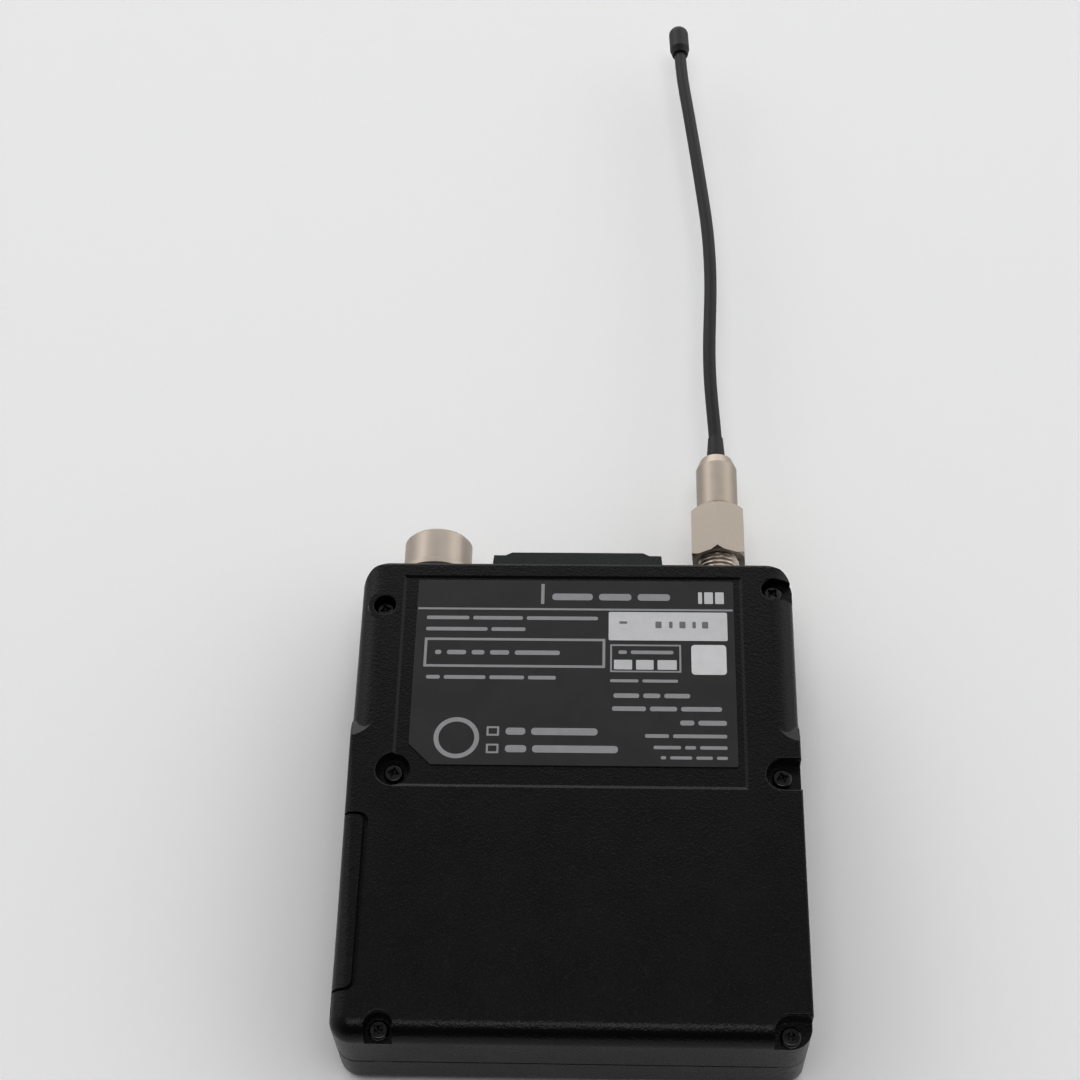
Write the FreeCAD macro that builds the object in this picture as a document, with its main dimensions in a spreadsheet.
import FreeCAD, Part
import math
import os
import re
import sys

V = FreeCAD.Vector
doc = FreeCAD.newDocument("bodypack")

# ---------------------------------------------------------------- dimensions
# Frame: +X right, +Y towards the antenna end, +Z up through the rear cover.
# Origin: centre of the case footprint on the front face, which lies at z = 0.
DIM = [
    ("case_w", 63.85), ("case_l", 72.8), ("case_t", 18.5), ("split_z", 8.3),
    ("wall", 1.6), ("side_in", 29.9), ("end_in", 34.65), ("corner_r", 3.0), ("top_corner_r", 4.0), ("inner_r", 1.5),
    ("end_round", 2.65), ("side_round", 0.3), ("top_round", 0.6),
    ("front_end_round", 2.3), ("front_side_round", 1.3), ("seam_chamfer", 0.16),
    ("scoop_r", 3.4), ("scoop_h", 2.5), ("scoop_y", 11.4), ("lip_r", 3.95),
    # case screws
    ("tl_x", -28.3), ("tl_y", 28.95), ("tr_x", 29.0), ("tr_y", 32.2),
    ("ml_x", -25.5), ("ml_y", 2.3), ("mr_x", 29.3), ("mr_y", 2.1),
    ("bl_x", -25.25), ("bl_y", -34.75), ("br_x", 29.0), ("br_y", -34.9),
    ("floor_end", 15.7), ("floor_mid", 16.2), ("head_r", 1.4), ("head_t", 0.85),
    ("shank_r", 0.8), ("hole_r", 0.95), ("insert_r", 1.12), ("insert_low", 5.25),
    ("boss_r", 2.0), ("column_r", 1.75),
    # label
    ("rec_x0", -25.7), ("rec_x1", 24.4), ("rec_y0", -0.45), ("rec_y1", 34.1), ("rec_d", 0.28),
    ("label_t", 0.2),
    # battery door and hinge
    ("open_y0", -33.0), ("open_y1", -2.0), ("open_top", 16.85), ("door_gap", 0.2),
    ("strip_y0", -30.1), ("strip_y1", -4.35), ("strip_x", -28.4), ("strip_gap", 0.38), ("strip_z", 17.45),
    ("hinge_x", -30.875), ("hinge_z", 1.15), ("nose_r", 0.9), ("arm_r", 0.95),
    ("hinge_pin_r", 0.5), ("hinge_bore_r", 0.55), ("sill_z", 2.25),
    # cells
    ("cell_r", 7.25), ("cell_z", 9.35), ("cell_a_y", -25.1), ("cell_b_y", -10.5),
    ("cell_x0", -26.0), ("cell_x1", 24.5), ("nub_r", 2.75), ("nub_l", 1.0),
    # boards and display
    ("board_z", 3.9), ("board_t", 1.0),
    ("win_w", 32.0), ("win_l", 15.0), ("win_y", 16.5), ("win_z", 0.3), ("win_t", 1.2),
    ("btn_r", 2.4), ("btn_clear", 0.15), ("btn_y", 4.0), ("btn_pitch", 10.0), ("btn_z", 0.3),
    # top end
    ("axis_z", 9.25), ("mic_x", -21.7), ("ant_x", 21.65),
    ("mic_r", 5.2), ("mic_bore_r", 4.3), ("mic_end", 45.15), ("collar_r", 6.5), ("collar_end", 38.5),
    ("jack_r", 3.15), ("jack_end", 47.0), ("nut_af", 8.0), ("nut_y0", 42.3), ("nut_y1", 51.3),
    ("nut_bore_r", 3.22), ("ferrule_r", 3.2), ("ferrule_end", 60.9),
    ("boot_r0", 1.5), ("boot_r1", 1.2), ("boot_end", 65.4), ("whip_r", 1.04),
    ("cap_r", 1.75), ("cap_y0", 150.9), ("cap_y1", 157.4),
    ("guard_w", 25.7), ("guard_w2", 19.9), ("guard_y1", 38.95), ("guard_y2", 39.45),
    ("guard_z0", 3.2), ("guard_z1", 16.4),
    ("switch_z", 10.8), ("switch_travel", 2.2),
    ("clip_y", 20.0), ("clip_z", 11.6), ("clip_r", 1.1), ("clip_depth", 2.2),
]
D = dict(DIM)
sheet = doc.addObject("Spreadsheet::Sheet", "Dims")
sheet.Label = "Dims"
for i, (alias, value) in enumerate(DIM, start=1):
    sheet.set("A%d" % i, alias)
    sheet.set("B%d" % i, str(value))
    sheet.setAlias("B%d" % i, alias)
doc.recompute()

WORD = re.compile(r"[A-Za-z_][A-Za-z_0-9]*")


def ex(text):
    return WORD.sub(lambda m: "Dims." + m.group(0) if m.group(0) in D else m.group(0), str(text))


def val(text):
    """Value of a sheet expression, for shapes that are set in code."""
    known = dict(D)
    out = WORD.sub(lambda m: repr(known[m.group(0)]) if m.group(0) in known else m.group(0), str(text))
    probe = doc.addObject("App::FeaturePython", "probe")
    probe.addProperty("App::PropertyFloat", "Out")
    probe.setExpression("Out", out)
    doc.recompute([probe])
    number = float(probe.Out)
    doc.removeObject(probe.Name)
    return number


def put(o, x, y, z, rot=None):
    if rot is not None:
        o.Placement = FreeCAD.Placement(V(0, 0, 0), rot)
    for axis, v in zip("xyz", (x, y, z)):
        o.setExpression("Placement.Base." + axis, ex(v))
    return o


ROT = {"z": FreeCAD.Rotation(), "y": FreeCAD.Rotation(V(1, 0, 0), -90), "x": FreeCAD.Rotation(V(0, 1, 0), 90)}


def bind(o, **sizes):
    for k, v in sizes.items():
        o.setExpression(k, ex(v))
    return o


def box(n, dx, dy, dz, x, y, z):
    o = bind(doc.addObject("Part::Box", n), Length=dx, Width=dy, Height=dz)
    return put(o, x, y, z)


def span(n, x0, x1, y0, y1, z0, z1):
    """Box from its low corner to its high corner."""
    return box(n, "(%s)-(%s)" % (x1, x0), "(%s)-(%s)" % (y1, y0), "(%s)-(%s)" % (z1, z0), x0, y0, z0)


def cyl(n, r, length, x, y, z, d="z"):
    o = bind(doc.addObject("Part::Cylinder", n), Radius=r, Height=length)
    return put(o, x, y, z, ROT[d])


def cone(n, r1, r2, length, x, y, z, d="z"):
    o = bind(doc.addObject("Part::Cone", n), Radius1=r1, Radius2=r2, Height=length)
    return put(o, x, y, z, ROT[d])


def fuse(n, *parts):
    o = doc.addObject("Part::MultiFuse", n)
    o.Shapes = list(parts)
    return o


def cut(n, base, *tools):
    o = doc.addObject("Part::Cut", n)
    o.Base = base
    o.Tool = tools[0] if len(tools) == 1 else fuse(n + "_tools", *tools)
    return o


def common(n, *parts):
    o = doc.addObject("Part::MultiCommon", n)
    o.Shapes = list(parts)
    return o


def compound(n, *parts):
    o = doc.addObject("Part::Compound", n)
    o.Links = list(parts)
    return o


def plane_of(body, role):
    for f in body.Origin.OriginFeatures:
        if f.Role == role:
            return f
    raise RuntimeError(role)


def poly_sketch(body, name, role, pts):
    """Closed polygon, each corner tied to the sheet."""
    import Sketcher

    sk = body.newObject("Sketcher::SketchObject", name)
    sk.AttachmentSupport = [(plane_of(body, role), "")]
    sk.MapMode = "FlatFace"
    xy = [(val(a), val(b)) for a, b in pts]
    n = len(xy)
    for i in range(n):
        a, b = xy[i], xy[(i + 1) % n]
        sk.addGeometry(Part.LineSegment(V(a[0], a[1], 0), V(b[0], b[1], 0)), False)
    for i in range(n):
        sk.addConstraint(Sketcher.Constraint("Coincident", i, 2, (i + 1) % n, 1))
    for i, (a, b) in enumerate(pts):
        k = sk.addConstraint(Sketcher.Constraint("DistanceX", -1, 1, i, 1, xy[i][0]))
        sk.setExpression("Constraints[%d]" % k, ex(a))
        k = sk.addConstraint(Sketcher.Constraint("DistanceY", -1, 1, i, 1, xy[i][1]))
        sk.setExpression("Constraints[%d]" % k, ex(b))
    return sk


def pad(n, pts, height, x="0", y="0", z="0", round_r=None, keep=None, more=None):
    """PartDesign body: a polygon padded upwards, with its upright edges rounded."""
    body = doc.addObject("PartDesign::Body", n)
    sk = poly_sketch(body, n + "_sketch", "XY_Plane", pts)
    p = body.newObject("PartDesign::Pad", n + "_pad")
    p.Profile = sk
    bind(p, Length=height)
    put(body, x, y, z)
    doc.recompute()
    if round_r is not None:
        names = []
        for i, e in enumerate(p.Shape.Edges, start=1):
            a, b = e.Vertexes[0].Point, e.Vertexes[-1].Point
            if abs(a.x - b.x) < 1e-6 and abs(a.y - b.y) < 1e-6 and (keep is None or keep(a.x, a.y)):
                names.append("Edge%d" % i)
        f = body.newObject("PartDesign::Fillet", n + "_round")
        f.Base = (p, names)
        bind(f, Radius=round_r)
        body.Tip = f
        doc.recompute()
        if more is not None:
            r2, keep2 = more
            names = []
            for i, e in enumerate(f.Shape.Edges, start=1):
                a, b = e.Vertexes[0].Point, e.Vertexes[-1].Point
                if abs(a.x - b.x) < 1e-6 and abs(a.y - b.y) < 1e-6 and not (abs(a.z - b.z) < 1e-6) and keep2(a.x, a.y):
                    names.append("Edge%d" % i)
            f2 = body.newObject("PartDesign::Fillet", n + "_round2")
            f2.Base = (f, names)
            bind(f2, Radius=r2)
            body.Tip = f2
            doc.recompute()
    return body


def rect(x0, x1, y0, y1):
    return [(x0, y0), (x1, y0), (x1, y1), (x0, y1)]


def slab(n, x0, x1, y0, y1, z0, z1, r=None, keep=None, more=None):
    return pad(n, rect(x0, x1, y0, y1), "(%s)-(%s)" % (z1, z0), z=z0, round_r=r, keep=keep, more=more)


def turned(n, pts, x, z):
    """PartDesign revolution about an axis along Y through (x, z); pts are (radius, y)."""
    body = doc.addObject("PartDesign::Body", n)
    sk = poly_sketch(body, n + "_sketch", "XY_Plane", pts)
    rv = body.newObject("PartDesign::Revolution", n + "_turn")
    rv.Profile = sk
    rv.ReferenceAxis = (sk, ["V_Axis"])
    rv.Angle = 360.0
    put(body, x, "0", z)
    doc.recompute()
    return body


def edges_where(shape, test):
    out = []
    for i, e in enumerate(shape.Edges, start=1):
        if test(e):
            out.append(i)
    return out


def feature(n, shape):
    o = doc.addObject("Part::Feature", n)
    o.Shape = shape
    o.Placement = FreeCAD.Placement(V(0, 0, 0), FreeCAD.Rotation())
    return o


NODES = []


def node(label, obj):
    obj.Label = label
    NODES.append((label, obj))
    return obj


hw, hl = "case_w/2", "case_l/2"
W2, L2, T, S = D["case_w"] / 2, D["case_l"] / 2, D["case_t"], D["split_z"]

# ---------------------------------------------------------------- case blanks
# Both shells start as a rounded slab; the outer edges carry different radii,
# which run into each other around the corners.


def edge_radii(body, zlevel, r_end, r_side, r_top, name):
    shape = body.Shape
    rows = []
    for i, e in enumerate(shape.Edges, start=1):
        bb = e.BoundBox
        if abs(bb.ZMin - zlevel) > 1e-4 or abs(bb.ZMax - zlevel) > 1e-4:
            continue
        first = e.valueAt(e.FirstParameter)
        last = e.valueAt(e.LastParameter)

        def radius(p):
            if p.y < -L2 + 0.01:
                return r_end
            if p.y > L2 - 0.01:
                return r_top
            return r_side
        mid = e.valueAt((e.FirstParameter + e.LastParameter) / 2)
        if abs(mid.y + L2) < 1e-3:
            rows.append((i, r_end, r_end))
        elif abs(mid.y - L2) < 1e-3:
            rows.append((i, r_top, r_top))
        elif abs(abs(mid.x) - W2) < 1e-3:
            rows.append((i, r_side, r_side))
        else:
            rows.append((i, radius(first), radius(last)))
    f = doc.addObject("Part::Fillet", name)
    f.Base = body
    f.Edges = rows
    doc.recompute()
    return f


rear_slab = slab("rear_slab", "-" + hw, hw, "-" + hl, hl, "split_z", "case_t", "corner_r",
                 keep=lambda x, y: y < 0, more=("top_corner_r", lambda x, y: y > L2 - 0.01))
rear_blank = edge_radii(rear_slab, T, D["end_round"], D["side_round"], D["top_round"], "rear_blank")
front_slab = slab("front_slab", "-" + hw, hw, "-" + hl, hl, "0", "split_z", "corner_r",
                  keep=lambda x, y: y < 0, more=("top_corner_r", lambda x, y: y > L2 - 0.01))
front_blank = edge_radii(front_slab, 0.0, D["front_end_round"], D["front_side_round"], D["front_side_round"], "front_blank")


def seam(blank, name):
    rows = edges_where(blank.Shape, lambda e: abs(e.BoundBox.ZMin - S) < 1e-4 and abs(e.BoundBox.ZMax - S) < 1e-4)
    c = doc.addObject("Part::Chamfer", name)
    c.Base = blank
    c.Edges = [(i, D["seam_chamfer"], D["seam_chamfer"]) for i in rows]
    doc.recompute()
    return c


rear_skin = seam(rear_blank, "rear_skin")
front_skin = seam(front_blank, "front_skin")
full_blank = fuse("full_blank", rear_blank, front_blank)

SCREWS = {
    "tl": ("tl_x", "tl_y", "floor_mid"), "tr": ("tr_x", "tr_y", "floor_mid"),
    "ml": ("ml_x", "ml_y", "floor_mid"), "mr": ("mr_x", "mr_y", "floor_mid"),
    "bl": ("bl_x", "bl_y", "floor_end"), "br": ("br_x", "br_y", "floor_end"),
}
# Screw pockets: radius of the well and of the rounding round its mouth.
RECESS = {"tl": 1.6, "tr": 1.7, "ml": 2.4, "mr": 2.3, "bl": 1.85, "br": 2.15}
MOUTH = {"tl": 0.2, "tr": 0.3, "ml": 0.35, "mr": 0.35, "bl": 0.35, "br": 0.35}

# ---------------------------------------------------------------- rear shell
rear_cavity = slab("rear_cavity", "-side_in", "side_in", "-end_in", "end_in",
                   "split_z-1", "case_t-wall", "inner_r")
rear_hollow = cut("rear_hollow", rear_skin, rear_cavity)
bosses = []
for k, (sx, sy, fl) in SCREWS.items():
    bosses.append(cyl("col_" + k, "column_r", "case_t-wall/2-split_z", sx, sy, "split_z"))
    bosses.append(cyl("cup_" + k, "%g" % (RECESS[k] + 0.65), "case_t-14.3", sx, sy, "14.3-0.1" if k in ("bl", "br") else "14.2"))
for side in ("-1", "1"):
    bosses.append(box("clip_pad" + ("l" if side == "-1" else "r"), "1.8", "5", "5",
                      "%s*(side_in+0.1)-0.9" % side, "clip_y-2.5", "clip_z-2.5"))
rear_bosses = common("rear_bosses", fuse("rear_boss_set", *bosses), rear_skin)
rear_solid = fuse("rear_solid", rear_hollow, rear_bosses)



def lip_edges(p, q, r, f, s):
    """The well's wall and its rounded mouth; p and q turn (distance, height) into points."""
    c = 1 - math.cos(math.pi / 4)
    return [Part.LineSegment(p(r, q), p(r, T - f)).toShape(),
            Part.Arc(p(r, T - f), p(r + f * c, T - f * c), p(r + f, T)).toShape(),
            Part.LineSegment(p(r + f, T), p(r + f, T + 1)).toShape()]


def well(name, x, y, r, f, floor):
    """Round screw well with a rounded mouth."""
    p = lambda d, z: V(x + d, y, z)
    e = lip_edges(p, floor, r, f, 1)
    e += [Part.LineSegment(p(r + f, T + 1), p(0, T + 1)).toShape(), Part.LineSegment(p(0, T + 1), p(0, floor)).toShape(),
          Part.LineSegment(p(0, floor), p(r, floor)).toShape()]
    solid = Part.Face(Part.Wire(Part.__sortEdges__(e))).revolve(V(x, y, 0), V(0, 0, 1), 360)
    if solid.Volume < 0:
        solid.reverse()
    return feature(name, solid)


def channel(name, x, y, r, f, floor, run, left=True, right=True):
    """Straight run of a pocket out of the case from (x, y) along run, its walls r to each side with rounded mouths."""
    side = V(-run.y, run.x, 0)
    base = V(x, y, 0)
    e = []
    ends = []
    for s, on in ((1, left), (-1, right)):
        p = lambda d, z, s=s: base + side * (s * d) + V(0, 0, z)
        if on:
            e += lip_edges(p, floor, r, f, s)
            ends.append((p(r, floor), p(r + f, T + 1)))
        else:
            e.append(Part.LineSegment(p(0, floor), p(0, T + 1)).toShape())
            ends.append((p(0, floor), p(0, T + 1)))
    e.append(Part.LineSegment(ends[0][0], ends[1][0]).toShape())
    e.append(Part.LineSegment(ends[0][1], ends[1][1]).toShape())
    solid = Part.Face(Part.Wire(Part.__sortEdges__(e))).extrude(run * 12)
    if solid.Volume < 0:
        solid.reverse()
    return feature(name, solid)


rear_tools = []
POCKET = {k: (val(sx), val(sy)) for k, (sx, sy, fl) in SCREWS.items()}
POCKET["bl"] = (D["bl_x"], -34.8)
POCKET["br"] = (28.95, -34.85)
for k, (sx, sy, fl) in SCREWS.items():
    rear_tools.append(cyl("hole_" + k, "hole_r", "case_t", sx, sy, "split_z-1"))
    px, py = POCKET[k]
    rear_tools.append(well("rec_" + k, px, py, RECESS[k], MOUTH[k], D[fl]))
rear_tools.append(channel("rec_bl_open", *POCKET["bl"], RECESS["bl"], MOUTH["bl"], D["floor_end"], V(0, -1, 0)))
rear_tools.append(channel("rec_br_open1", *POCKET["br"], RECESS["br"], MOUTH["br"], D["floor_end"], V(0, -1, 0), left=False))
rear_tools.append(channel("rec_br_open2", *POCKET["br"], RECESS["br"], MOUTH["br"], D["floor_end"], V(1, 0, 0), right=False))
rear_tools.append(span("rec_br_open3", "28.95", "40", "-40", "-34.85", "floor_end", "case_t+1"))
rear_tools.append(channel("rec_mr_open", *POCKET["mr"], RECESS["mr"], MOUTH["mr"], D["floor_mid"], V(1, 0, 0)))
rear_tools.append(channel("rec_tr_open", *POCKET["tr"], RECESS["tr"], MOUTH["tr"], D["floor_mid"], V(1, 0, 0)))

# Grip scoops: the upper side edges are rounded down to a cone-ended lip.


def scoop(side, name):
    s = -1 if side == "l" else 1
    r = D["scoop_r"]
    h = D["scoop_h"]
    cx, cz = s * (W2 - r), T - h
    out = 3.0
    a = V(cx, 0, T)
    b = V(s * W2, 0, cz)
    oval = Part.Ellipse(b, a, V(cx, 0, cz))
    edges = [Part.ArcOfEllipse(oval, 0, math.pi / 2).toShape(),
             Part.LineSegment(b, V(s * (W2 + out), 0, cz)).toShape(),
             Part.LineSegment(V(s * (W2 + out), 0, cz), V(s * (W2 + out), 0, T + out)).toShape(),
             Part.LineSegment(V(s * (W2 + out), 0, T + out), V(cx, 0, T + out)).toShape(),
             Part.LineSegment(V(cx, 0, T + out), a).toShape()]
    face = Part.Face(Part.Wire(Part.__sortEdges__(edges)))
    return feature(name + "_prism", face.extrude(V(0, L2 + 10, 0)))


scoops = []
for side in ("l", "r"):
    sg = "-1" if side == "l" else "1"
    prism = scoop(side, "scoop_" + side)
    at = "scoop_y" if side == "l" else "scoop_y-0.3"
    reach = span("scoop_zone_" + side, "%s*case_w/2-6" % sg, "%s*case_w/2+6" % sg, at, "case_l", "case_t-6", "case_t+6")
    lip = cone("scoop_lip_" + side, "lip_r-2.2*1.7", "lip_r+2.2*0.45", "1.7+0.45", "%s*(case_w/2+0.475)" % sg, at, "case_t-1.7")
    lip2 = cone("scoop_lip2_" + side, "lip_r-1.55-0.8*2.7", "lip_r-1.55+0.8*0.45", "2.7+0.45", "%s*(case_w/2+0.475)" % sg, at, "case_t-2.7")
    zone = fuse("scoop_zone2_" + side, reach, lip, lip2)
    scoops.append(common("scoop_cut_" + side, prism, zone))
island = cone("tl_island", "2.4+6*0.35", "2.4", "6", "tl_x", "tl_y", "case_t-6")
island2 = cyl("tl_island_top", "2.4", "5", "tl_x", "tl_y", "case_t-0.01")
scoops[0] = cut("scoop_cut_l2", scoops[0], island, island2)
rear_tools += scoops

# Label recess with a sloping lower edge.
wedge = doc.addObject("Part::Wedge", "label_recess")
bind(wedge, Xmin="rec_x0+0.4", Xmax="rec_x1-0.4", Zmin="-rec_y1+0.35", Zmax="-rec_y0-0.55", X2min="rec_x0-0.4", X2max="rec_x1+0.4",
     Z2min="-rec_y1-0.35", Z2max="-rec_y0+0.55", Ymin="0", Ymax="2*rec_d")
put(wedge, "0", "0", "case_t-rec_d", FreeCAD.Rotation(V(1, 0, 0), 90))
rear_tools.append(wedge)

# Door opening, door strip seat, connector holes, switch slots, clip sockets.
rear_tools.append(span("door_way_r", "-case_w", "-side_in", "open_y0", "open_y1", "split_z-1", "open_top"))
rear_tools.append(slab("strip_seat", "-case_w", "strip_x", "strip_y0", "strip_y1", "strip_z", "case_t+1", "1.5",
                       keep=lambda x, y: x > -40))
rear_tools.append(span("strip_way", "-case_w", "-side_in-0.2", "strip_y0", "strip_y1", "split_z", "case_t+1"))
rear_tools.append(cyl("mic_hole_r", "4.85", "10", "mic_x", "30", "axis_z", "y"))
rear_tools.append(cyl("ant_hole_r", "jack_r+0.1", "10", "ant_x", "30", "axis_z", "y"))
rear_tools.append(span("power_slot", "-7.5", "-3.5", "30", "40", "switch_z-0.9", "switch_z+0.9"))
rear_tools.append(span("mute_slot", "3.5", "7.5", "30", "40", "switch_z-0.9", "switch_z+0.9"))
rear_tools.append(cyl("led_hole_a", "0.85", "10", "-1.1", "30", "switch_z", "y"))
rear_tools.append(cyl("led_hole_b", "0.85", "10", "1.1", "30", "switch_z", "y"))
rear_tools.append(cyl("clip_hole_l", "clip_r", "clip_depth+5", "-case_w/2-5", "clip_y", "clip_z", "x"))
rear_tools.append(cyl("clip_hole_r", "clip_r", "clip_depth+5", "case_w/2-clip_depth", "clip_y", "clip_z", "x"))
node("rear_shell", cut("rear_shell", rear_solid, *rear_tools))

# ---------------------------------------------------------------- front shell
front_cavity = slab("front_cavity", "-side_in", "side_in", "-end_in", "end_in",
                    "wall", "split_z+1", "inner_r")
front_hollow = cut("front_hollow", front_skin, front_cavity)
fb = []
for k, (sx, sy, fl) in SCREWS.items():
    fb.append(cyl("stud_" + k, "boss_r", "split_z-0.8", sx, sy, "0.8"))
nose = fuse("hinge_nose", cyl("nose_bar", "nose_r", "open_y1-open_y0", "hinge_x", "open_y0", "hinge_z", "y"),
            span("nose_web", "hinge_x", "hinge_x+2.5", "open_y0", "open_y1", "hinge_z-nose_r", "wall"))
fb.append(nose)
for sgn, n in ((-1, "a"), (1, "b")):
    fb.append(span("board_rest_" + n, "%g" % (sgn * 22 - 1.2), "%g" % (sgn * 22 + 1.2), "26", "28.4", "0.8", "board_z"))
front_bosses = common("front_bosses", fuse("front_boss_set", *fb), front_blank)
front_open = cut("front_open", front_hollow,
                 span("door_way_f", "-case_w", "-side_in", "open_y0", "open_y1", "wall", "split_z+1"),
                 span("door_sill_f", "-case_w", "hinge_x+0.2", "open_y0", "open_y1", "-1", "split_z+1"))
front_solid = fuse("front_solid", front_open, front_bosses)
ft = []
for k, (sx, sy, fl) in SCREWS.items():
    ft.append(cyl("pilot_" + k, "hole_r", "10", sx, sy, "3.4"))
    ft.append(cyl("seat_" + k, "insert_r+0.02", "10", sx, sy, "insert_low"))
for n, y0, y1 in (("a", "open_y0", "-30.7"), ("b", "-4.3", "open_y1")):
    ft.append(cyl("arm_way_" + n, "arm_r+0.2", "(%s)-(%s)" % (y1, y0), "hinge_x", y0, "hinge_z", "y"))
    ft.append(span("arm_side_" + n, "-case_w", "hinge_x", y0, y1, "-1", "4"))
ft.append(cyl("pin_bore_a", "hinge_bore_r", "4.4", "hinge_x", "-34.4", "hinge_z", "y"))
ft.append(cyl("pin_bore_b", "hinge_bore_r", "4.4", "hinge_x", "-5", "hinge_z", "y"))
ft.append(cyl("mic_hole_f", "4.85", "10", "mic_x", "30", "axis_z", "y"))
ft.append(cyl("ant_hole_f", "jack_r+0.1", "10", "ant_x", "30", "axis_z", "y"))
ft.append(slab("window_seat", "-win_w/2-0.1", "win_w/2+0.1", "win_y-win_l/2-0.1", "win_y+win_l/2+0.1", "-1", "win_z+win_t+0.05", "1.0"))
ft.append(span("window_view", "-win_w/2+1.5", "win_w/2-1.5", "win_y-win_l/2+1.5", "win_y+win_l/2-1.5", "-1", "3"))
for i in (-1, 0, 1):
    ft.append(cyl("btn_way_%d" % (i + 1), "btn_r+btn_clear", "4", "%d*btn_pitch" % i, "btn_y", "-1"))
ft.append(cyl("power_lens_way", "0.85", "4", "22", "16.5", "-1"))
ft.append(cyl("rest_hole_a", "0.62", "4", "-22", "27.2", "2.4"))
ft.append(cyl("rest_hole_b", "0.62", "4", "22", "27.2", "2.4"))
node("front_shell", cut("front_shell", front_solid, *ft))

# ---------------------------------------------------------------- label plate
node("label_plate", pad("label_plate", [("-20.3", "3.05"), ("23.1", "3.05"), ("23.1", "33.35"), ("-23.5", "33.35"), ("-23.5", "6.25")],
                        "label_t", z="case_t-rec_d", round_r="0.3"))

# ---------------------------------------------------------------- screws and inserts
screws, inserts = [], []
for j, (k, (sx, sy, fl)) in enumerate(SCREWS.items()):
    sh = cyl("scr_shank_" + k, "shank_r", fl + "-4.4+0.2", sx, sy, "4.4")
    hd = cyl("scr_head_" + k, "head_r", "head_t", sx, sy, fl)
    doc.recompute()
    dm = doc.addObject("Part::Fillet", "scr_dome_" + k)
    dm.Base = hd
    dm.Edges = [(i, 0.36, 0.36) for i in edges_where(hd.Shape, lambda e: abs(e.BoundBox.ZMin - D[fl] - D["head_t"]) < 1e-4)]
    body = fuse("scr_body_" + k, sh, dm)
    a = 17 + 31 * j
    b1 = box("scr_x1_" + k, "1.7", "0.4", "2", sx, sy, fl + "+head_t-0.55")
    b2 = box("scr_x2_" + k, "0.4", "1.7", "2", sx, sy, fl + "+head_t-0.55")
    b3 = cone("scr_x3_" + k, "0.2", "0.62", "0.75", sx, sy, fl + "+head_t-0.7")
    for bb, ox, oy in ((b1, -0.85, -0.2), (b2, -0.2, -0.85)):
        rot = FreeCAD.Rotation(V(0, 0, 1), a)
        off = rot.multVec(V(ox, oy, 0))
        bb.Placement = FreeCAD.Placement(V(0, 0, 0), rot)
        bb.setExpression("Placement.Base.x", ex("%s+(%.5f)" % (sx, off.x)))
        bb.setExpression("Placement.Base.y", ex("%s+(%.5f)" % (sy, off.y)))
        bb.setExpression("Placement.Base.z", ex(fl + "+head_t-0.55"))
    screws.append(cut("screw_" + k, body, b1, b2, b3))
    inserts.append(cut("insert_" + k, cyl("ins_o_" + k, "insert_r", "split_z-0.1-insert_low", sx, sy, "insert_low"),
                       cyl("ins_i_" + k, "shank_r+0.04", "10", sx, sy, "1")))
node("case_screws", compound("case_screws", *screws))
node("threaded_inserts", compound("threaded_inserts", *inserts))

# ---------------------------------------------------------------- battery door
plate = span("door_plate", "-case_w/2-1", "-side_in", "open_y0+door_gap", "open_y1-door_gap", "sill_z", "open_top-door_gap")
web = span("door_web", "-case_w/2-1", "-side_in-0.4", "strip_y0+strip_gap", "strip_y1-strip_gap", "14", "case_t+1")
strip = slab("door_strip", "-case_w/2-1", "strip_x-0.72", "strip_y0+strip_gap", "strip_y1-strip_gap", "strip_z+0.15", "case_t+1", "1.1",
             keep=lambda x, y: x > -31)
arms = []
for n, y0, y1 in (("a", "open_y0+door_gap", "-30.9"), ("b", "-4.1", "open_y1-door_gap")):
    arms.append(cyl("arm_eye_" + n, "arm_r", "(%s)-(%s)" % (y1, y0), "hinge_x", y0, "hinge_z", "y"))
    arms.append(span("arm_" + n, "hinge_x-arm_r", "hinge_x+0.7", y0, y1, "hinge_z", "3.2"))
door_skin = common("door_skin", fuse("door_region", plate, web, strip, *arms), full_blank)
rails = [span("rail_a", "-side_in-0.05", "-28.7", "-15.6", "-6", "11.9", "12.5"),
         span("rail_b", "-side_in-0.05", "-28.7", "-15.6", "-6", "15.7", "16.3")]
door_all = fuse("door_all", door_skin, *rails)
node("battery_door", cut("battery_door", door_all,
                         cyl("door_bore", "hinge_bore_r", "34", "hinge_x", "-35", "hinge_z", "y"),
                         span("latch_window", "-40", "-29", "-13.1", "-7.2", "12.85", "15.35")))
node("door_hinge_pins", compound("door_hinge_pins",
                                 cyl("hinge_pin_a", "hinge_pin_r", "4.0", "hinge_x", "-34.2", "hinge_z", "y"),
                                 cyl("hinge_pin_b", "hinge_pin_r", "4.0", "hinge_x", "-4.8", "hinge_z", "y")))
knob = span("latch_knob", "-31.775", "-29.3", "-12.95", "-8.95", "13.0", "15.2")
grooves = [span("latch_groove_%d" % i, "-33", "-31.425", "%g" % (-12.35 + 0.85 * i), "%g" % (-11.95 + 0.85 * i), "12", "16") for i in range(4)]
node("door_latch", cut("door_latch", fuse("latch_body", knob, span("latch_bar", "-29.75", "-28.95", "-14.5", "-2.45", "12.65", "15.55")),
                       *grooves))
node("door_contact_strip", fuse("door_contact_strip",
                                span("strip_leaf", "-29.86", "-29.56", "-30.4", "-5.2", "4.6", "11.6"),
                                cone("strip_dome_a", "2.1", "1.2", "3.45", "-29.6", "cell_a_y", "cell_z", "x"),
                                cone("strip_dome_b", "2.1", "1.2", "3.45", "-29.6", "cell_b_y", "cell_z", "x")))

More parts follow.
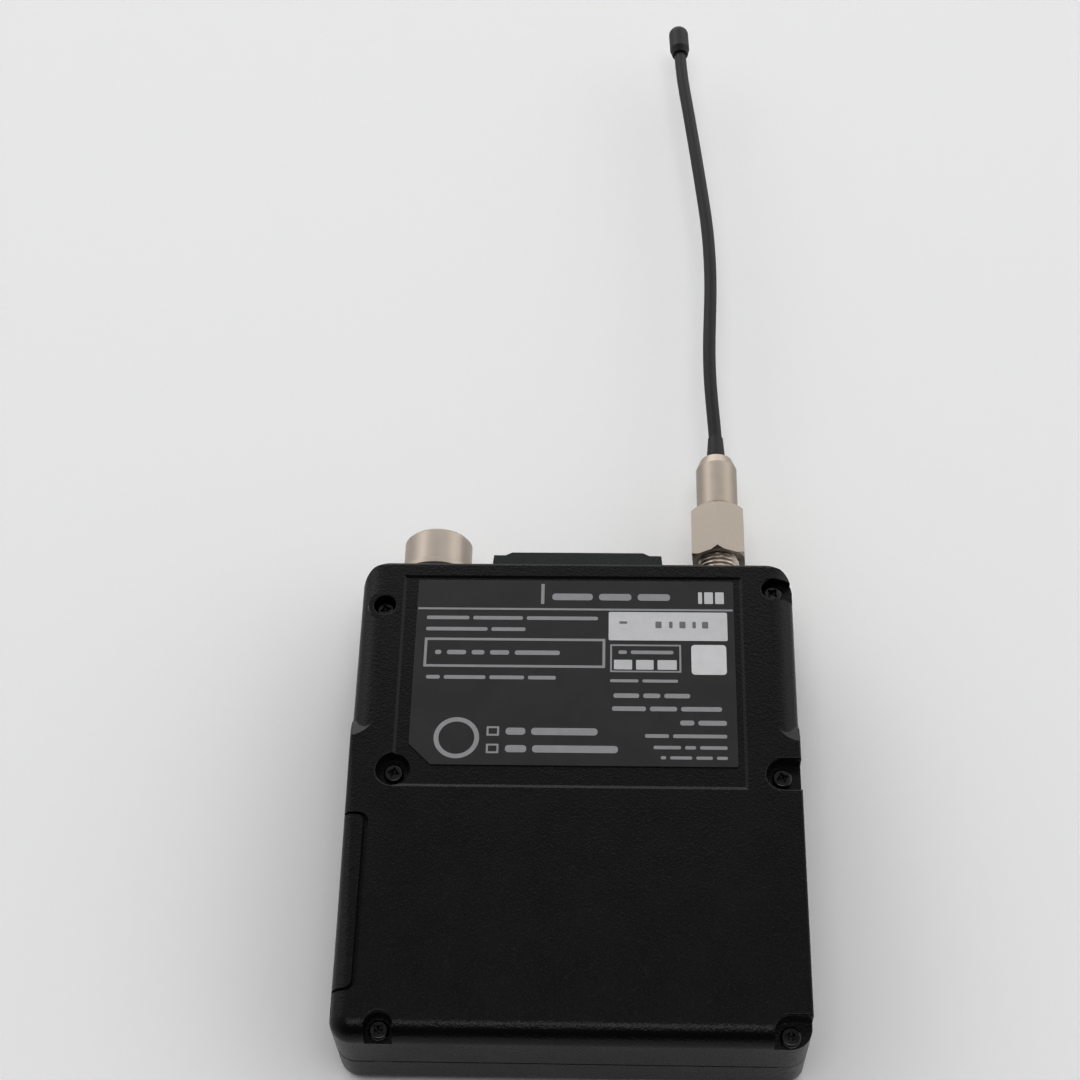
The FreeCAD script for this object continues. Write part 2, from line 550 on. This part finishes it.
# ---------------------------------------------------------------- battery bay
tray = span("tray_block", "-27.3", "26.2", "-32.9", "-2.6", "wall+0.05", "split_z-0.1")
divider = span("bay_divider", "-27.0", "25.3", "-2.6", "-1.7", "wall+0.05", "case_t-wall-0.2")
tray_end = span("tray_end", "26.2", "27.3", "-31.5", "-2.6", "wall+0.05", "14.5")
node("battery_cradle", cut("battery_cradle", fuse("cradle_blank", tray, divider, tray_end),
                           cyl("trough_a", "cell_r+0.15", "60", "-33.8", "cell_a_y", "cell_z", "x"),
                           cyl("trough_b", "cell_r+0.15", "60", "-33.8", "cell_b_y", "cell_z", "x"),
                           cyl("cradle_clear_bl", "boss_r+0.2", "20", "bl_x", "bl_y", "0"),
                           cyl("cradle_clear_br", "boss_r+0.2", "20", "br_x", "br_y", "0"),
                           cyl("cradle_clear_mr", "boss_r+0.3", "20", "mr_x", "mr_y", "0")))
for label, cy, flip in (("battery_lower", "cell_a_y", 0), ("battery_upper", "cell_b_y", 1)):
    x0 = "cell_x0+nub_l" if flip else "cell_x0"
    can = cyl(label + "_can", "cell_r", "cell_x1-cell_x0-nub_l", x0, cy, "cell_z", "x")
    nubx = "cell_x0" if flip else "cell_x1-nub_l-0.01"
    nub = cyl(label + "_nub", "nub_r", "nub_l+0.01", nubx, cy, "cell_z", "x")
    node(label, fuse(label, can, nub))
node("battery_contact_positive", fuse("battery_contact_positive",
                                      span("bp_leaf", "25.75", "26.1", "cell_a_y-4", "cell_a_y+4", "cell_z-3", "cell_z+3"),
                                      cone("bp_dome", "1.3", "2.2", "1.2", "24.56", "cell_a_y", "cell_z", "x")))
springs = [span("bn_leaf", "25.75", "26.1", "cell_b_y-4", "cell_b_y+4", "cell_z-3", "cell_z+3"),
           cone("bn_cone", "1.6", "2.8", "1.2", "24.56", "cell_b_y", "cell_z", "x")]
node("battery_contact_negative", fuse("battery_contact_negative", *springs))

# ---------------------------------------------------------------- boards
board = slab("main_board_blank", "-26.2", "27.0", "1.0", "32.4", "board_z", "board_z+board_t", "0.8")
node("main_board", cut("main_board", board,
                       cyl("board_clear_ml", "boss_r+0.3", "20", "ml_x", "ml_y", "0"),
                       cyl("board_clear_mr", "boss_r+0.3", "20", "mr_x", "mr_y", "0"),
                       cyl("board_clear_tl", "boss_r+0.3", "20", "tl_x", "tl_y", "0"),
                       cyl("board_clear_tr", "boss_r+0.3", "20", "tr_x", "tr_y", "0"),
                       cyl("board_hole_a", "0.7", "20", "-22", "27.2", "0"),
                       cyl("board_hole_b", "0.7", "20", "22", "27.2", "0")))
node("board_screws", compound("board_screws",
                              fuse("board_screw_a", cyl("bs_s_a", "0.6", "2.2", "-22", "27.2", "board_z-1.1"),
                                   cyl("bs_h_a", "1.3", "0.7", "-22", "27.2", "board_z+board_t+0.02")),
                              fuse("board_screw_b", cyl("bs_s_b", "0.6", "2.2", "22", "27.2", "board_z-1.1"),
                                   cyl("bs_h_b", "1.3", "0.7", "22", "27.2", "board_z+board_t+0.02"))))
chips = [span("chip_dsp", "-20", "-11", "6.0", "15.0", "board_z+board_t+0.02", "board_z+board_t+1.4"),
         span("chip_codec", "-8", "-2.5", "18.5", "24.0", "board_z+board_t+0.02", "board_z+board_t+1.1"),
         span("chip_power", "-8.5", "-4.5", "5.0", "9.0", "board_z+board_t+0.02", "board_z+board_t+1.0"),
         cyl("cap_bulk_a", "3.1", "7.5", "-3.6", "13.0", "board_z+board_t+0.02"),
         span("coil_power", "-13.5", "-9.5", "19.5", "23.5", "board_z+board_t+0.02", "board_z+board_t+2.4")]
node("board_components", compound("board_components", *chips))
can_o = slab("rf_can_o", "2.5", "19.5", "4.5", "24.5", "board_z+board_t+0.02", "board_z+board_t+3.2", "0.6")
node("rf_shield_can", cut("rf_shield_can", can_o,
                          span("rf_can_i", "2.8", "19.2", "4.8", "24.2", "board_z", "board_z+board_t+2.9")))
node("rf_module", span("rf_module", "4.0", "18.0", "6.5", "22.5", "board_z+board_t+0.02", "board_z+board_t+1.9"))
sw_board = span("switch_board_blank", "-11.0", "11.0", "29.9", "30.9", "6.4", "15.0")
node("switch_board", sw_board)
node("switch_flex", fuse("switch_flex", span("flex_a", "-3", "3", "28.6", "29.86", "9.0", "9.12"),
                         span("flex_b", "-3", "3", "28.6", "28.72", "board_z+board_t+0.02", "9.12")))

# ---------------------------------------------------------------- display and keys
node("lcd_window", slab("lcd_window", "-win_w/2", "win_w/2", "win_y-win_l/2", "win_y+win_l/2", "win_z", "win_z+win_t", "0.9"))
node("lcd_module", slab("lcd_module", "-win_w/2+0.4", "win_w/2-0.4", "win_y-win_l/2+0.2", "win_y+win_l/2-0.2", "wall+0.1", "board_z-0.1", "0.4"))
caps, tacts = [], []
for i, label in ((-1, "minus_button"), (0, "set_button"), (1, "plus_button")):
    bx = "%d*btn_pitch" % i
    cap = cyl(label + "_cap", "btn_r", "wall+0.08-btn_z-0.3", bx, "btn_y", "btn_z+0.3")
    face = cone(label + "_face", "btn_r-0.3", "btn_r", "0.3", bx, "btn_y", "btn_z")
    flange = cyl(label + "_flange", "btn_r+0.55", "0.3", bx, "btn_y", "wall+0.05")
    stem = cyl(label + "_stem", "0.8", "0.5", bx, "btn_y", "wall+0.3")
    node(label, fuse(label, cap, face, flange, stem))
    tacts.append(fuse("tact_%d" % (i + 1), span("tact_box_%d" % (i + 1), bx + "-1.6", bx + "+1.6", "btn_y-1.6", "btn_y+1.6", "3.05", "board_z-0.02"),
                      cyl("tact_nub_%d" % (i + 1), "0.6", "0.3", bx, "btn_y", "2.9")))
node("tact_switches", compound("tact_switches", *tacts))
node("power_lens", fuse("power_lens", cyl("pl_rod", "0.8", "wall+0.2-0.15", "22", "16.5", "0.15"),
                        cyl("pl_head", "1.3", "0.5", "22", "16.5", "wall+0.05")))

# ---------------------------------------------------------------- top end: controls
g_out = pad("guard_blank", [("-guard_w/2", "0"), ("guard_w/2", "0"), ("guard_w/2-0.25", "guard_y1-case_l/2"),
                            ("guard_w2/2+0.9", "guard_y1-case_l/2"), ("guard_w2/2-0.1", "guard_y2-case_l/2"),
                            ("-guard_w2/2+0.1", "guard_y2-case_l/2"), ("-guard_w2/2-0.9", "guard_y1-case_l/2"),
                            ("-guard_w/2+0.25", "guard_y1-case_l/2")], "guard_z1-guard_z0", y="case_l/2", z="guard_z0")
g_in = slab("guard_inner", "-guard_w/2+1.7", "guard_w/2-1.7", "case_l/2-1", "case_l/2+9", "guard_z0+2.0", "guard_z1-2.2")
node("control_guard", cut("control_guard", g_out, g_in))
for label, x0, lens in (("power", -6.6, 1), ("mute", 4.4, 1)):
    cap = slab(label + "_cap", "%g-1.8" % x0, "%g+1.8" % x0, "case_l/2+0.2", "case_l/2+2.2", "switch_z-1.6", "switch_z+1.6")
    stem = span(label + "_stem", "%g-0.7" % x0, "%g+0.7" % x0, "33.9", "case_l/2+0.3", "switch_z-0.7", "switch_z+0.7")
    ribs = [span(label + "_rib%d" % i, "%g" % (x0 - 1.45 + 0.8 * i), "%g" % (x0 - 1.05 + 0.8 * i), "case_l/2+1.9", "case_l/2+3", "switch_z-3", "switch_z+3")
            for i in range(4)]
    node(label + "_switch_knob", cut(label + "_switch_knob", fuse(label + "_knob_body", cap, stem), *ribs))
    node(label + "_switch_body", cut(label + "_switch_body", span(label + "_sw_box", "%g-3.0" % (x0 + 1.1), "%g+3.0" % (x0 + 1.1), "30.95", "34.4", "switch_z-2.0", "switch_z+2.0"),
                                     span(label + "_sw_slot", "%g-1.9" % (x0 + 1.1), "%g+1.9" % (x0 + 1.1), "33.5", "35", "switch_z-0.85", "switch_z+0.85")))
node("indicator_lenses", compound("indicator_lenses",
                                  cyl("lens_a", "0.8", "case_l/2+0.15-33.2", "-1.1", "33.2", "switch_z", "y"),
                                  cyl("lens_b", "0.8", "case_l/2+0.15-33.2", "1.1", "33.2", "switch_z", "y")))
node("indicator_leds", compound("indicator_leds",
                                span("led_a", "-1.75", "-0.45", "30.95", "32.9", "switch_z-0.7", "switch_z+0.7"),
                                span("led_b", "0.45", "1.75", "30.95", "32.9", "switch_z-0.7", "switch_z+0.7")))

# ---------------------------------------------------------------- top end: microphone input
mic = turned("mic_body", [("3.3", "29.5"), ("4.2", "29.5"), ("4.2", "32.6"), ("4.75", "32.6"), ("4.75", "collar_end+0.02"),
                          ("5.0", "collar_end+0.02"), ("5.0", "collar_end+1.1"), ("mic_r", "collar_end+1.1"), ("mic_r", "mic_end-0.5"),
                          ("mic_r-0.45", "mic_end"), ("mic_bore_r+0.35", "mic_end"), ("mic_bore_r", "mic_end-0.5"), ("mic_bore_r", "40.2"),
                          ("3.6", "40.2"), ("3.6", "34.0"), ("3.3", "34.0")], "mic_x", "axis_z")
hexr = turned("mic_foot", [("4.6", "collar_end+0.02"), ("5.7", "collar_end+0.02"), ("5.8", "collar_end+0.12"), ("5.8", "collar_end+0.95"),
                           ("5.65", "collar_end+1.1"), ("4.6", "collar_end+1.1")], "mic_x", "axis_z")
key = span("mic_key", "mic_x-0.5", "mic_x+0.5", "41.02", "mic_end-0.6", "axis_z-mic_bore_r-0.2", "axis_z-mic_bore_r+0.45")
node("mic_connector_shell", fuse("mic_connector_shell", mic, hexr, key))
node("mic_collar", turned("mic_collar", [("4.85", "case_l/2+0.02"), ("collar_r+0.1", "case_l/2+0.02"), ("collar_r", "collar_end-0.35"),
                                         ("collar_r-0.4", "collar_end"), ("4.85", "collar_end")], "mic_x", "axis_z"))
ring = doc.addObject("Part::Prism", "mic_ring_hex")
ring.Polygon = 6
bind(ring, Circumradius="6.4", Height="1.4")
put(ring, "mic_x", "33.2", "axis_z", ROT["y"])
node("mic_ring_nut", cut("mic_ring_nut", ring, cyl("mic_ring_bore", "4.8", "5", "mic_x", "32", "axis_z", "y")))
pins, pin_holes = [], []
for i in range(4):
    a = math.radians(45 + 90 * i)
    px, pz = "mic_x+(%.4f)" % (2.1 * math.cos(a)), "axis_z+(%.4f)" % (2.1 * math.sin(a))
    pins.append(fuse("mic_pin_%d" % i, cyl("mic_pin_s%d" % i, "0.42", "44.0-28.4", px, "28.4", pz, "y"),
                     cone("mic_pin_t%d" % i, "0.42", "0.2", "0.3", px, "44.0", pz, "y")))
    pin_holes.append(cyl("mic_pin_h%d" % i, "0.45", "20", px, "26", pz, "y"))
node("mic_insert", cut("mic_insert", turned("mic_insert_blank", [("0", "34.1"), ("3.55", "34.1"), ("3.55", "40.25"), ("mic_bore_r-0.05", "40.25"),
                                                                 ("mic_bore_r-0.05", "41.0"), ("0", "41.0")], "mic_x", "axis_z"), *pin_holes))
node("mic_pins", compound("mic_pins", *pins))

# ---------------------------------------------------------------- top end: antenna socket
node("antenna_jack", turned("antenna_jack", [("0.95", "29.4"), ("2.5", "29.4"), ("2.5", "32.8"), ("jack_r", "32.8"), ("jack_r", "case_l/2+0.15"),
                                             ("4.3", "case_l/2+0.15"), ("4.3", "case_l/2+0.95"), ("jack_r", "case_l/2+0.95"),
                                             ("jack_r", "jack_end-0.3"), ("jack_r-0.3", "jack_end"), ("2.45", "jack_end"),
                                             ("2.25", "jack_end-0.3"), ("2.25", "41.5"), ("0.95", "41.5")], "ant_x", "axis_z"))
node("antenna_jack_washer", cut("antenna_jack_washer", cyl("ajw_o", "4.6", "0.12", "ant_x", "case_l/2+0.02", "axis_z", "y"),
                                cyl("ajw_i", "jack_r+0.05", "5", "ant_x", "34", "axis_z", "y")))
anut = doc.addObject("Part::Prism", "jack_nut_hex")
anut.Polygon = 6
bind(anut, Circumradius="4.9", Height="1.5")
put(anut, "ant_x", "33.1", "axis_z", ROT["y"])
node("antenna_jack_nut", cut("antenna_jack_nut", anut, cyl("ajn_i", "jack_r+0.03", "5", "ant_x", "32", "axis_z", "y")))
node("antenna_jack_contact", turned("antenna_jack_contact", [("0", "28.2"), ("0.35", "28.2"), ("0.35", "30.0"), ("0.9", "30.0"), ("0.9", "44.5"),
                                                             ("0.52", "44.5"), ("0.52", "39.5"), ("0", "39.5")], "ant_x", "axis_z"))

# ---------------------------------------------------------------- antenna
nut_hex = doc.addObject("Part::Prism", "coupling_hex")
nut_hex.Polygon = 6
bind(nut_hex, Circumradius="nut_af/sqrt(3)", Height="nut_y1-nut_y0")
nut_hex.Placement = FreeCAD.Placement(V(0, 0, 0), FreeCAD.Rotation(V(1, 0, 0), -90).multiply(FreeCAD.Rotation(V(0, 0, 1), 25)))
for axis, v in zip("xyz", ("ant_x", "nut_y0", "axis_z")):
    nut_hex.setExpression("Placement.Base." + axis, ex(v))
nut_turn = turned("coupling_turn", [("0", "nut_y0"), ("4.15", "nut_y0"), ("4.75", "nut_y0+0.55"), ("4.75", "nut_y1-0.9"), ("3.7", "nut_y1"),
                                    ("0", "nut_y1")], "ant_x", "axis_z")
node("antenna_coupling_nut", cut("antenna_coupling_nut", common("coupling_blank", nut_hex, nut_turn),
                                 cyl("coupling_bore", "nut_bore_r", "8.0", "ant_x", "nut_y0-0.5", "axis_z", "y"),
                                 cyl("coupling_neck", "2.35", "20", "ant_x", "nut_y0-0.5", "axis_z", "y")))
node("antenna_ferrule", turned("antenna_ferrule", [("0.95", "48.3"), ("2.1", "48.3"), ("2.1", "48.6"), ("2.95", "48.6"), ("2.95", "49.6"), ("2.1", "49.6"),
                                                   ("2.1", "nut_y1+0.15"), ("ferrule_r-0.3", "nut_y1+0.15"), ("ferrule_r", "nut_y1+0.4"),
                                                   ("ferrule_r", "ferrule_end-1.7"), ("2.5", "ferrule_end"), ("0.95", "ferrule_end")], "ant_x", "axis_z"))
node("antenna_contact_pin", turned("antenna_contact_pin", [("0", "42.4"), ("0.2", "42.4"), ("0.45", "42.9"), ("0.45", "48.0"), ("0.9", "48.0"),
                                                           ("0.9", "60.7"), ("0", "60.7")], "ant_x", "axis_z"))
node("antenna_boot", turned("antenna_boot", [("0", "ferrule_end+0.02"), ("boot_r0", "ferrule_end+0.02"), ("boot_r0-0.05", "ferrule_end+1.2"),
                                             ("boot_r1", "boot_end"), ("0", "boot_end")], "ant_x", "axis_z"))

# Springy whip: straight runs joined by tangent arcs, in the plane z = axis_z.
ROUTE = [(21.65, 65.5), (20.85, 80.0), (21.85, 104.0), (19.4, 128.0), (17.3, 146.0), (16.9, 155.4)]


def tube(route, z, r, name):
    pts = [V(x, y, z) for x, y in route]
    edges, here, length = [], pts[0], 0.0
    for i in range(1, len(pts) - 1):
        a, b, c = pts[i - 1], pts[i], pts[i + 1]
        u, w = (b - a).normalize(), (c - b).normalize()
        turn = u.getAngle(w)
        short = min((b - a).Length, (c - b).Length)
        t = 0.45 * short
        rad = t / math.tan(turn / 2)
        p, q = b - u * t, b + w * t
        bis = (w - u).normalize()
        centre = b + bis * (rad / math.cos(turn / 2))
        mid = centre - bis * rad
        edges.append(Part.LineSegment(here, p).toShape())
        edges.append(Part.Arc(p, mid, q).toShape())
        print("%s bend %d radius %.1f mm" % (name, i, rad))
        here = q
    edges.append(Part.LineSegment(here, pts[-1]).toShape())
    wire = Part.Wire(edges)
    start = (pts[1] - pts[0]).normalize()
    ring_ = Part.Wire([Part.makeCircle(r, pts[0], start)])
    solid = wire.makePipeShell([ring_], True, False)
    want = math.pi * r * r * wire.Length
    print("%s volume %.3f, section x length %.3f" % (name, solid.Volume, want))
    if abs(solid.Volume - want) > 0.01 * want:
        raise RuntimeError("tube volume " + name)
    return solid, wire


whip_shape, whip_wire = tube(ROUTE, D["axis_z"], D["whip_r"], "whip")
tip = V(ROUTE[-1][0], ROUTE[-1][1], D["axis_z"])
back = (V(ROUTE[-1][0], ROUTE[-1][1], 0) - V(ROUTE[-2][0], ROUTE[-2][1], 0)).normalize()
cap_len = D["cap_y1"] - D["cap_y0"]
cap_start = tip + back * (D["cap_y1"] - ROUTE[-1][1] - cap_len)
node("antenna_whip", feature("antenna_whip", whip_shape))
# End cap: a moulded sleeve with a domed end and a tapered mouth.
cr = D["cap_r"]
prof = [(D["whip_r"] + 0.02, 0.0), (cr - 0.35, 0.0), (cr, 1.3), (cr, cap_len - 1.5)]
edges = []
P = lambda q: V(q[0], 0, q[1])
for a, b in zip(prof, prof[1:]):
    edges.append(Part.LineSegment(P(a), P(b)).toShape())
edges.append(Part.Arc(V(cr, 0, cap_len - 1.5), V(cr * 0.8, 0, cap_len - 0.5), V(0.6, 0, cap_len)).toShape())
edges.append(Part.LineSegment(V(0.6, 0, cap_len), V(0, 0, cap_len)).toShape())
depth = (tip - cap_start).Length + 0.02
edges.append(Part.LineSegment(V(0, 0, cap_len), V(0, 0, depth)).toShape())
edges.append(Part.LineSegment(V(0, 0, depth), V(D["whip_r"] + 0.02, 0, depth)).toShape())
edges.append(Part.LineSegment(V(D["whip_r"] + 0.02, 0, depth), V(D["whip_r"] + 0.02, 0, 0)).toShape())
cap_face = Part.Face(Part.Wire(Part.__sortEdges__(edges)))
cap_solid = cap_face.revolve(V(0, 0, 0), V(0, 0, 1), 360)
if cap_solid.Volume < 0:
    cap_solid.reverse()
cap_obj = feature("antenna_cap", cap_solid)
cap_obj.Placement = FreeCAD.Placement(cap_start, FreeCAD.Rotation(V(0, 0, 1), back))
node("antenna_cap", cap_obj)

# ---------------------------------------------------------------- internal leads


def lead(label, pts, r):
    p = [V(*q) for q in pts]
    edges, here = [], p[0]
    for i in range(1, len(p) - 1):
        a, b, c = p[i - 1], p[i], p[i + 1]
        u, w = (b - a).normalize(), (c - b).normalize()
        turn = u.getAngle(w)
        t = 0.45 * min((b - a).Length, (c - b).Length)
        rad = t / math.tan(turn / 2)
        s, e = b - u * t, b + w * t
        bis = (w - u).normalize()
        centre = b + bis * (rad / math.cos(turn / 2))
        edges.append(Part.LineSegment(here, s).toShape())
        edges.append(Part.Arc(s, centre - bis * rad, e).toShape())
        here = e
    edges.append(Part.LineSegment(here, p[-1]).toShape())
    wire = Part.Wire(edges)
    solid = wire.makePipeShell([Part.Wire([Part.makeCircle(r, p[0], (p[1] - p[0]).normalize())])], True, False)
    want = math.pi * r * r * wire.Length
    print("%s volume %.3f, section x length %.3f" % (label, solid.Volume, want))
    if abs(solid.Volume - want) > 0.01 * want:
        raise RuntimeError("lead volume " + label)
    return solid


node("coax_lead", feature("coax_lead", lead("coax_lead", [(21.65, 28.1, 9.25), (21.65, 25.6, 9.25), (21.3, 23.6, 7.3), (21.0, 21.4, 5.55)], 0.5)))
node("mic_leads", compound("mic_leads",
                           feature("mic_lead_a", lead("mic_lead_a", [(-23.2, 28.3, 7.8), (-23.2, 25.0, 7.8), (-23.2, 22.4, 6.6), (-23.2, 19.6, 5.35)], 0.35)),
                           feature("mic_lead_b", lead("mic_lead_b", [(-20.2, 28.3, 7.8), (-20.2, 25.0, 7.8), (-19.6, 22.4, 6.6), (-19.2, 19.6, 5.35)], 0.35))))

# ---------------------------------------------------------------- checks and output
doc.recompute()
bad = [o.Name for o in doc.Objects if "Invalid" in o.State or "Error" in o.State]
if bad:
    sys.exit("failed objects: " + ", ".join(bad))
os.makedirs("parts", exist_ok=True)
for stale in os.listdir("parts"):
    if stale.endswith(".step"):
        os.remove(os.path.join("parts", stale))
wrong = []
for label, obj in NODES:
    s = obj.Shape
    if s.isNull() or not s.isValid() or not s.Solids or s.Volume <= 0:
        wrong.append(label)
if wrong:
    sys.exit("bad shapes: " + ", ".join(wrong))
for label, obj in NODES:
    bb = obj.Shape.BoundBox
    print("%-26s solids %d vol %9.2f  x %.2f..%.2f y %.2f..%.2f z %.2f..%.2f" % (
        label, len(obj.Shape.Solids), obj.Shape.Volume, bb.XMin, bb.XMax, bb.YMin, bb.YMax, bb.ZMin, bb.ZMax))
    obj.Shape.exportStep(os.path.join("parts", label + ".step"))
print("%d nodes" % len(NODES))
